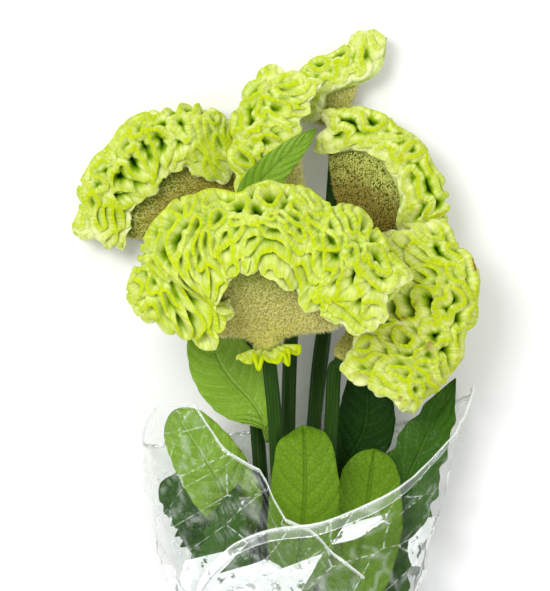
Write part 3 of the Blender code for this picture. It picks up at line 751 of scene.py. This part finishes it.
def nearest(targets, places):
    """For each place, its distance to the nearest target and which one that is."""
    tree = KDTree(len(targets))
    for number, target in enumerate(targets):
        tree.insert(target, number)
    tree.balance()
    found = [tree.find(place)[1:] for place in places.reshape(-1, 3)]
    which, distance = np.array(found).T
    return distance.reshape(places.shape[:2]), which.astype(int).reshape(places.shape[:2])


def bend(field, step):
    """How strongly the lines of a field bend, with a sign for the side."""
    down, across = np.gradient(field, step)
    size = np.maximum(np.hypot(down, across), 1e-6)
    return np.gradient(down / size, step, axis=0) + np.gradient(across / size, step, axis=1)


def crest_pattern(down, run, inset, seed):
    """A field that is zero along the crest's rim, at places on the crest given in millimetres."""
    small, large = [even_pattern(down, run, size, seed + k) for k, size in enumerate(LOOPS)]
    share = smoothstep(0.5 + 0.6 * even_pattern(down, run, 50, seed + 2))
    field = small * (1 - share) + large * share + 0.16 * even_pattern(down, run, 5.2, seed + 3)
    scallops = 1.3 * np.sin(TURN * run / 10.5) + wander(down, run, seed, [(23, 0.8), (7, 0.4)])
    return field + 2.8 * smoothstep(1 - (inset + scallops) / 4.5)


def crest_grid(head):
    """A grid of places on a crest and a little past its margin: how far along it and how far over
    it they are, and how far inside its margin."""
    spec = head.spec
    radii = head.end_radii(spec["fold"] / 2)
    start, end = -CREST_END * radii[0], head.length + CREST_END * radii[1]
    ell = np.linspace(start - 3, end + 3, round((end - start + 6) / GRID))
    middle = head.frame(ell)[1][:, 0] - spec["fold"] / 2
    front = np.interp(ell / head.length, *zip(*spec["front"]))
    width = math.pi * middle + spec["back"] + front
    span = width.mean()
    place = np.linspace(-2 / span, 1 + 2 / span, round((span + 4) / GRID))[:, None]
    reach = place * width - math.pi / 2 * middle - spec["back"]
    ell = np.broadcast_to(ell, reach.shape)
    inset = np.minimum(np.minimum(place, 1 - place) * span, np.minimum(ell - start, end - ell))
    return ell, reach, inset


def crest_rims(head, ell, reach, inset):
    """The winding rim of a crest: at each place on it the distance to the nearest rim, 1 outside a
    bend and 0 inside it, and where on the grid that rim is, in centimetres."""
    lie = head.crest_point(ell, reach, np.full(reach.shape, 0.8))
    run = np.cumsum(np.linalg.norm(np.gradient(lie, axis=1), axis=2), axis=1)
    run = run - run[:, [run.shape[1] // 2]]
    steps = np.linalg.norm(np.gradient(lie, axis=0), axis=2).mean(axis=1)
    down = np.cumsum(steps)[:, None] + 0 * run
    field = crest_pattern(down, run, inset, int(head.spec["seed"] * 10))
    rims = crossings(field)
    distance, which = nearest(sample(lie, *rims.T), lie)
    curl = bend(field, 1.2 * GRID)[tuple(np.rint(rims).astype(int).T)][which] * np.sign(field)
    outside = np.clip(soften(np.clip(0.5 + 1.5 * curl, 0, 1), GRID, 0.9), 0, 1)
    return distance, outside, rims[which] * GRID / 10


def add_crest(name, head):
    """The crest as one folded surface: a bright rim that winds all over it, rounded flanks outside
    its bends and funnels inside them."""
    spec = head.spec
    ell, reach, inset = crest_grid(head)
    distance, outside, foot = crest_rims(head, ell, reach, inset)
    low = smoothstep(1 - (inset - 2) / 7) * (reach > 0)
    puff = np.sqrt(np.maximum(0, 1 - (distance / (PUFF + 2.0 * low)) ** 2))
    funnel = 0.08 + 0.92 * np.exp(-(np.maximum(distance - 0.75, 0) / 1.3) ** 1.4)
    height = funnel + (puff - funnel) * outside
    height = height * (1 + wander(ell, reach, int(spec["seed"] * 10), [(26, 0.10), (15, 0.06)])) * 0.90
    height = np.clip(height + 1.2 / spec["fold"] * np.exp(-(distance / RIM) ** 4), 0, 1)
    height = height - (0.2 + height) * smoothstep((0.6 - inset) / 2.2)
    slide = LEAN * spec["fold"] * np.maximum(height, 0) ** 1.5
    slide = slide * np.tanh(reach / 8) * smoothstep(inset / 8)
    points = pressed_on_table(head.crest_point(ell, reach + slide, height))
    marks = (distance / 6, height + 0.55 * low * (1 - height), outside, low)
    add_piece(f"{name}_crest_folds", points, CREST[name], uv=np.moveaxis(foot, -1, 0), marks=marks,
              nodes=[f"{name}_crest"])


def body_points(head, rings, around):
    """Rings of points over the head's fan, from a round foot to the core inside the crest, and
    the share of the fan's height at each ring."""
    spec = head.spec
    middle = head.frame(head.length / 2)[0]
    rise = unit(middle - head.foot)
    tall = np.linalg.norm(middle - head.foot)
    forward = unit(UP - head.way[2] * head.way)
    across = np.cross(head.way, forward)
    angle = round_angles(around)
    side = signed_power(-np.cos(angle), SQUARISH)
    front = signed_power(np.sin(angle), SQUARISH)
    core_end = head.end_radii(spec["fold"])
    ell = (side + 1) / 2 * (head.length + sum(core_end)) - core_end[0]
    centre, radius, along, outward, ahead = head.frame(ell)
    over = (ell - np.clip(ell, 0, head.length))[:, None]
    core = radius - spec["fold"]
    t = np.concatenate([np.linspace(0, 1, rings + 1), np.ones(8)])[:, None, None]
    beyond = np.concatenate([np.zeros(rings + 1), np.linspace(0, math.pi / 2, 9)[1:]])[:, None, None]
    place = centre + along * over * (1 - 0.5 * np.sin(beyond)) + outward * core * np.sin(beyond)
    reach = place - head.foot
    up = (reach @ rise)[..., None]
    fan = head.foot + rise * up * t + (reach - up * rise) * t**0.7
    half = head.half_thickness(core, t)
    fan = fan + ahead * half * front[:, None] * np.cos(beyond)
    stalk = head.foot + head.way * t * tall
    stalk = stalk + (STEM_RADIUS + 1.2) * between(-across, forward, angle)
    mix = smoothstep(t / 0.45)
    return stalk * (1 - mix) + fan * mix, t[:, 0, 0]


def spread_over(points, faces, values, count, rng):
    """Places spread evenly over a mesh of quads: the points, the normals and the value there."""
    halves = np.concatenate([faces[:, [0, 1, 2]], faces[:, [0, 2, 3]]])
    corners = points[halves]
    cross = np.cross(corners[:, 1] - corners[:, 0], corners[:, 2] - corners[:, 0])
    area = np.linalg.norm(cross, axis=1)
    pick = rng.choice(len(halves), count, p=area / area.sum())
    mix = rng.dirichlet((1, 1, 1), count)
    place = (corners[pick] * mix[..., None]).sum(axis=1)
    return place, unit(cross[pick]), (values[halves][pick] * mix).sum(axis=1)


def bristle_mesh(place, way, length, half, rng):
    """A three-sided spike at each place: points, faces and how near its tip each point is."""
    count = len(place)
    side = unit(np.cross(way, rng.normal(size=(count, 3))))
    other = np.cross(way, side)
    ring = between(side[:, None], other[:, None], round_angles(3)[:3])
    base = place[:, None] + ring * half[:, None, None] - way[:, None] * 0.3
    tip = place + way * length[:, None]
    points = np.concatenate([base, tip[:, None]], axis=1)
    pattern = np.array([[0, 1, 3], [1, 2, 3], [2, 0, 3]])
    faces = (4 * np.arange(count)[:, None, None] + pattern).reshape(-1, 3)
    return points.reshape(-1, 3), faces, np.tile([0.0, 0.0, 0.0, 1.0], count)


def add_florets(name, head):
    """The fan under the crest: its skin, and a fur of small pointed florets on it."""
    look = FLORETS[name]
    points, share = body_points(head, rings=30, around=80)
    points = pressed_on_table(points, soft=2.0)
    rows, columns = points.shape[:2]
    add_piece(f"{name}_fan", points, SKIN[look["kind"]], marks=(share[:, None], 0, 0, 1),
              nodes=[f"{name}_florets"])
    rng = np.random.default_rng(int(head.spec["seed"] * 100))
    faces = grid_faces(rows, columns)
    ring = share[faces[:, 0] // columns]
    keep = faces[(ring > 0.03) & (ring < 0.999)]
    place, normal, height = spread_over(points.reshape(-1, 3), keep, np.repeat(share, columns),
                                        look["count"], rng)
    middle = points.mean(axis=(0, 1))
    normal = normal * np.sign(((place - middle) * normal).sum(axis=1, keepdims=True))
    rise = unit(head.frame(head.length / 2)[0] - head.foot)
    way = unit(normal + 0.45 * rise + 0.35 * rng.normal(size=place.shape))
    length = look["length"] * rng.uniform(0.55, 1.15, len(place))
    half = look["half"] * rng.uniform(0.7, 1.2, len(place))
    tips, spikes, tip = bristle_mesh(place, way, length, half, rng)
    tips[:, 2] = np.maximum(tips[:, 2], 0.1)
    chance = np.repeat(rng.uniform(size=len(place)), 4)
    add_piece(f"{name}_floret_tips", tips, FUR[look["kind"]], faces=spikes,
              marks=(np.repeat(height, 4), chance, tip, 1))


def ribbon_solid(sheet, half, cap=5):
    """A ribbon of points with a thickness and a round rim at its last row."""
    normal = unit(np.cross(np.gradient(sheet, axis=1), np.gradient(sheet, axis=0)))
    outward = unit(np.gradient(sheet, axis=0)[-1])
    arc = np.linspace(0, math.pi, cap + 2)[1:-1, None, None]
    rim = sheet[-1] + half * (np.cos(arc) * normal[-1] + np.sin(arc) * outward)
    return np.concatenate([sheet + normal * half, rim, (sheet - normal * half)[::-1]])


def add_frill():
    """A small strip of crest on the stem's top, below the florets of the front head."""
    head = Head(HEADS["front"])
    across = unit(np.cross(head.way, UP))
    forward = np.cross(across, head.way)
    k = np.linspace(0, FRILL_QUARTERS, 240)
    angle = np.radians(200 + FRILL_SPAN * k / FRILL_QUARTERS)
    wave = np.sin(math.pi * k / 2 + 1.1 * np.sin(0.9 * k)) * (1 + 0.5 * np.cos(0.7 * k + 2))
    side = between(across, -forward, angle)
    rows = []
    for height in np.linspace(0, 1, 9):
        radius = STEM_RADIUS + 2.8 + height * (8 + 1.5 * np.cos(0.9 * k))
        along = 2.6 + wave * (0.8 + 1.6 * height) - 2.0 * height
        rows.append(head.foot + head.way * along[:, None] + side * radius[:, None])
    points = ribbon_solid(np.array(rows), 0.95)
    rise = np.concatenate([np.linspace(0.5, 1, 9), np.ones(5), np.linspace(1, 0.5, 9)])[:, None]
    add_piece("side_crest_folds", points, CREST["middle"], uv=(k / 10, rise),
              faces=grid_faces(*points.shape[:2], closed=True),
              marks=((1 - rise) * 0.9, rise, 0.4, 0), nodes=["side_crest"])


def stem_line(name, per_span=3):
    """The middle line of a stem, from its cut end to just under its head."""
    spec, head = STEMS[name], HEADS[name]
    offset = np.zeros(3)
    if spec["bearing"] is not None:
        bearing = math.radians(spec["bearing"])
        offset = BUNDLE_RING * np.array([math.cos(bearing), 0, math.sin(bearing)])
    band = np.array([0, BAND_Y, BUNDLE_HEIGHT]) + offset
    inner = np.array([0, BAND_Y + 40, BUNDLE_HEIGHT + 1]) + offset
    cut = np.array([0, CUT_END_Y, BUNDLE_HEIGHT - 1]) + offset * 1.08
    way = unit(head["way"])
    foot = np.array(head["foot"], float) - SEAT * way
    points = [cut, band, inner, *spec["through"], foot - 9 * way, foot - 4 * way, foot]
    return smooth_line(points, per_span)


def stem_at(name, y):
    line = stem_line(name)
    return np.array([np.interp(y, line[:, 1], line[:, k]) for k in range(3)])


def add_stem(name):
    """A ribbed stalk with a flat cut face at its lower end."""
    line = stem_line(name, per_span=10)
    way = unit(np.gradient(line, axis=0))
    across = unit(np.cross(way, UP))
    up = np.cross(across, way)
    around = 36
    angle = round_angles(around)
    rib = STEM_RADIUS * (0.965 + 0.035 * np.cos(RIBS * angle))
    along = lengths_along(line)
    tube = line[:, None] + rib[:, None] * between(across[:, None], up[:, None], angle)
    cut = line[0] + (tube[0] - line[0]) * np.array([0.0, 0.35, 0.7, 0.94])[:, None, None]
    top = line[-1] + (tube[-1] - line[-1]) * np.array([0.5, 0.0])[:, None, None]
    points = np.concatenate([cut, tube, top])
    height = np.concatenate([np.zeros(len(cut)), along, along[-1:], along[-1:]])[:, None]
    on_cut = np.arange(len(points))[:, None] < len(cut)
    add_piece(f"{name}_stalk", points, STALK, uv=(height / 10, np.linspace(0, 1, around + 1)),
              marks=(on_cut, 0, 0, 1), nodes=[f"{name}_stem"])


def leaf_half_widths(spec, u):
    """Half the width of a leaf at shares of its length."""
    blade = np.clip((u - 0.10) / 0.90, 0, 1)
    swell = np.maximum(np.sin(math.pi * (blade * spec["blunt"]) ** 0.8), 0) ** 0.75
    half = STALK_HALF + (spec["half"] - STALK_HALF) * swell
    return half * np.sqrt(np.maximum(0.01, 1 - (np.maximum(u - 0.86, 0) / 0.14) ** 2.4))


def leaf_sheet(spec, rows, columns, seed):
    """A grid of points over the middle of a leaf, from its stalk to its tip."""
    joint = stem_at(spec["stem"], spec["joint"])
    base = joint + unit(spec["side"]) * (STEM_RADIUS + STALK_SEAT + BLADE / 2)
    line = smooth_line([base, *spec["bends"], spec["tip"]], per_span=8)
    along = lengths_along(line)
    u = np.linspace(0, 1, rows)
    here, way = place_and_way(line, along, u * along[-1], 0.03 * along[-1])
    width_way = unit(np.cross(way, unit(spec["face"])))
    up = np.cross(width_way, way)
    phase = np.random.default_rng(seed).uniform(0, TURN, 2)
    v = np.linspace(-1, 1, columns)[None, :]
    u, half = u[:, None], leaf_half_widths(spec, u)[:, None]
    tooth = 0.035 * np.sin(TURN * 9 * u + phase[0] + (v > 0))
    tooth = tooth + 0.02 * np.sin(TURN * 17 * u + phase[1])
    tooth = tooth * LEAF_LOOKS[spec["look"]]["teeth"]
    reach = half * v * (1 + tooth * smoothstep((half - 2) / 5))
    ripple = spec["wave"] * v * v * np.sin(TURN * (spec["waves"] * u + 0.25 * (v > 0)))
    lift = half * spec["fold"] * np.abs(v) ** 1.3 + ripple * smoothstep(half / 8)
    lift = lift - 0.5 * np.exp(-(half * v / 1.2) ** 2) * smoothstep((half - 2) / 5)
    return here[:, None] + width_way[:, None] * reach[..., None] + up[:, None] * lift[..., None]


def add_leaf(name, spec, seed):
    """A leaf with a thickness that grows towards its stalk and thins out at its edges."""
    sheet = leaf_sheet(spec, LEAF_ROWS, LEAF_COLUMNS, seed)
    rows, columns = sheet.shape[:2]
    normal = unit(np.cross(np.gradient(sheet, axis=1), np.gradient(sheet, axis=0)))
    thick = np.full((rows, columns), BLADE_HALF)
    thick[:, [0, -1]] = BLADE_EDGE
    thick[:6] = np.linspace(1.0, BLADE_HALF, 6)[:, None]
    offset = normal * thick[..., None]
    front, back = sheet + offset, (sheet - offset)[:, ::-1]
    points = np.concatenate([front, back, front[:, :1]], axis=1)
    v = np.linspace(-1, 1, columns)
    across = np.concatenate([v, v[::-1], v[:1]])
    on_front = np.arange(len(across)) < columns
    add_piece(f"{name}_blade", points, LEAF[spec["look"]], marks=(on_front, 0, 0, 1),
              uv=(np.linspace(0, 1, rows)[:, None], across), nodes=[f"{name}_leaf"])


def film_points(bearing, y):
    """Points of the film at bearings round the bunch, in degrees."""
    share = np.clip((y - WRAP_LOW_Y) / WRAP_RISE, 0, 1.2)
    lap = 1.7 * smoothstep((bearing - 310) / 90)
    half_width = WRAP_NECK_RADIUS + WRAP_WIDENING * share**0.54 + lap
    depth = 2 * WRAP_NECK_RADIUS + 7 * smoothstep(share / 0.1)
    depth = depth + WRAP_DEEPENING * smoothstep(share / 0.6)
    angle = np.radians(bearing)
    across, height = np.cos(angle), np.sin(angle)
    squash = smoothstep(share / 0.2)
    across = signed_power(across, 1 - 0.45 * squash)
    floor = BUNDLE_HEIGHT - WRAP_NECK_RADIUS
    floor = floor + (FILM - floor) * squash
    flat = np.maximum(0, 1 + height * (1 + 1.6 * squash))
    below = floor + depth * 0.5 * ((1 + height) * (1 - squash) + flat**1.5 * squash)
    rise = np.maximum(height, 0)
    ridge = np.sin(np.radians(bearing * 6)) + 0.7 * np.sin(np.radians(bearing * 11 + y))
    above = floor + depth * 0.5 * (1 + rise ** (1 - 0.15 * squash))
    above = above + (lap + 1.3 * squash * ridge) * np.sqrt(rise)
    shift = 2 * share + 5 * smoothstep((share - 0.6) / 0.4)
    return np.stack([shift + half_width * across, y, np.where(height < 0, below, above)], -1)


def facets(a, b, seed, sizes):
    """A crumpled relief of flat facets with sharp creases, for each (wavelength, amount)."""
    rng = np.random.default_rng(seed)
    relief = 0.0
    for wavelength, amount in sizes:
        bearing, phase = rng.uniform(0.5, 1.6), rng.uniform(0, 1)
        run = (a * math.cos(bearing) + b * math.sin(bearing)) / wavelength + phase
        run = run + wander(a, b, rng.integers(1000), [(wavelength * 5, 0.35), (wavelength * 3, 0.2)])
        relief = relief + amount * (2 * np.abs(run % 1 - 0.5) - 0.5)
    return relief


def film_rows():
    """The bearing and Y of the film's points, and how far outward they are. The rows go up to the
    upper edge, turn over it and come back down as the cuff."""
    bearing = np.linspace(FILM_EDGE[0][0], FILM_EDGE[-1][0], FILM_COLUMNS)[None, :]
    edge = np.interp(bearing, *zip(*FILM_EDGE))
    cuff = np.interp(bearing, *zip(*CUFF))
    rise = (np.linspace(0, 1, FILM_ROWS) ** 1.1)[:, None]
    turn = np.linspace(0, math.pi, 5)[1:-1, None]
    back = np.linspace(0, 1, CUFF_ROWS)[:, None]
    inner = WRAP_LOW_Y + rise * (edge - WRAP_LOW_Y)
    y = np.concatenate([inner, edge + 0.6 * np.sin(turn), edge - cuff * back])
    out = np.concatenate([rise * 0, 0.5 - 0.5 * np.cos(turn), back * 0 + 1]) * 1.1
    return bearing + 0 * y, y, out


def add_film():
    """One clear sheet wound once round the bunch with a lap in front. Its upper edge is folded
    over into a cuff, and its upper side is crumpled."""
    bearing, y, out = film_rows()
    points = film_points(bearing, y)
    across = np.gradient(points, axis=1)
    upward = film_points(bearing, y + 1) - film_points(bearing, y - 1)
    normal = unit(np.cross(upward, across))
    middle = np.array([0.0, 0.0, 30.0])
    outward = ((points - middle) * normal * np.array([1, 0, 1])).sum(axis=-1, keepdims=True)
    normal = normal * np.sign(outward)
    front = smoothstep((points[..., 2] - 6) / 8)
    crumple = facets(np.radians(bearing) * 60, y, 7, CREASES)
    lift = out + 0.4 + front * np.maximum(crumple + 1.0, 0)
    points = points + normal * lift[..., None]
    points[..., 2] = np.maximum(points[..., 2], 0.15)
    row = np.arange(len(y))[:, None]
    on_cuff = row >= len(y) - CUFF_ROWS
    on_edge = (np.abs(row - FILM_ROWS - 1) <= 2) | (row == len(y) - 1)
    creased = np.clip(1 - np.abs(crumple) * 4, 0, 1)
    return add_piece("film_sheet", points, CLEAR, marks=(on_cuff, on_edge, creased, 1),
                     nodes=["film_wrap"])


def add_band():
    """An elastic band, three turns round the stems."""
    radius = BUNDLE_RING + STEM_RADIUS + SEAT + 0.8
    around = 10
    s = np.linspace(0, 1, BAND_TURNS * 90 + 1)
    angle = TURN * BAND_TURNS * s
    grip = radius + 0.25 * np.cos(5 * angle)
    y = BAND_Y + 3.0 * (s - 0.5) * 1.3 + 0.2 * np.sin(3 * angle)
    middle = np.stack([grip * np.cos(angle), y, BUNDLE_HEIGHT + grip * np.sin(angle)], -1)
    way = unit(np.gradient(middle, axis=0))
    outward = unit(middle - np.array([0, BAND_Y, BUNDLE_HEIGHT]))
    side = unit(np.cross(way, outward))
    ring = between(outward[:, None], side[:, None], round_angles(around))
    points = middle[:, None] + BAND_HALF * ring
    add_piece("elastic_band", points, BAND, nodes=["stem_band"],
              uv=(s[:, None] * BAND_TURNS, np.linspace(0, 1, around + 1)))


def add_camera():
    """Straight above the bunch, framed as the photograph is."""
    data = bpy.data.cameras.new("camera")
    data.sensor_fit = "VERTICAL"
    data.sensor_height = SENSOR
    data.sensor_width = SENSOR
    data.lens = SENSOR * CAMERA_DISTANCE / FRAME_HEIGHT
    data.clip_end = 20
    camera = new_object("camera", data)
    x, y, z = FRAME_MIDDLE
    camera.location = (x * MM, y * MM, (z + CAMERA_DISTANCE) * MM)
    bpy.context.scene.camera = camera


def add_floor():
    corners = np.array([[-1, -1], [1, -1], [1, 1], [-1, 1]]) * FLOOR_HALF
    corners = np.insert(corners, 2, -FLOOR_DROP, axis=1)
    mesh = bpy.data.meshes.new("floor")
    mesh.from_pydata(corners * MM, [], [(0, 1, 2, 3)])
    mesh.materials.append(floor_material("pale_floor"))
    new_object("floor", mesh)


def add_lamp(name, place, turn, size, power):
    data = bpy.data.lights.new(name, "AREA")
    data.shape = "RECTANGLE"
    data.size, data.size_y = size
    data.energy = power
    lamp = new_object(name, data)
    lamp.location = place
    lamp.rotation_euler = [math.radians(a) for a in turn]


def add_studio():
    """A pale floor, a bright even sky and soft lamps."""
    scene = bpy.context.scene
    scene.view_settings.view_transform = "Standard"
    scene.world = bpy.data.worlds.new("studio")
    scene.world.use_nodes = True
    sky = scene.world.node_tree.nodes["Background"]
    sky.inputs["Color"].default_value = (1, 1, 1, 1)
    sky.inputs["Strength"].default_value = SKY
    add_floor()
    for name, lamp in LAMPS.items():
        add_lamp(name, **lamp)


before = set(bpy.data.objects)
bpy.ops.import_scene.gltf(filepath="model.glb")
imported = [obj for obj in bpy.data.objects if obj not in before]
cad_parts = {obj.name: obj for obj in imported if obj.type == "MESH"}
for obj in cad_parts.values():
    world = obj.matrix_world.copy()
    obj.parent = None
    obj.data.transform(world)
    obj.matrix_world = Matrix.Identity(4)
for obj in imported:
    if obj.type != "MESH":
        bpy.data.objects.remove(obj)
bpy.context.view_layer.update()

CREST = {key: crest_material(f"crest_{key}", *look) for key, look in CREST_LOOKS.items()}
SKIN = {key: body_material(f"fan_{key}", *colours) for key, colours in SKINS.items()}
FUR = {key: floret_material(f"fur_{key}", *colours) for key, colours in FURS.items()}
STALK = stem_material("stalk_green")
LEAF = {key: leaf_material(f"leaf_{key}", look) for key, look in LEAF_LOOKS.items()}
CLEAR = film_material("film_clear")
BAND = band_material("band_rubber")

for head_name, head_spec in HEADS.items():
    shape = Head(head_spec)
    add_crest(head_name, shape)
    add_florets(head_name, shape)
    add_stem(head_name)
add_frill()
for number, (leaf_name, leaf_spec) in enumerate(LEAVES.items()):
    add_leaf(leaf_name, leaf_spec, number)
add_film()
add_band()

add_camera()
add_studio()
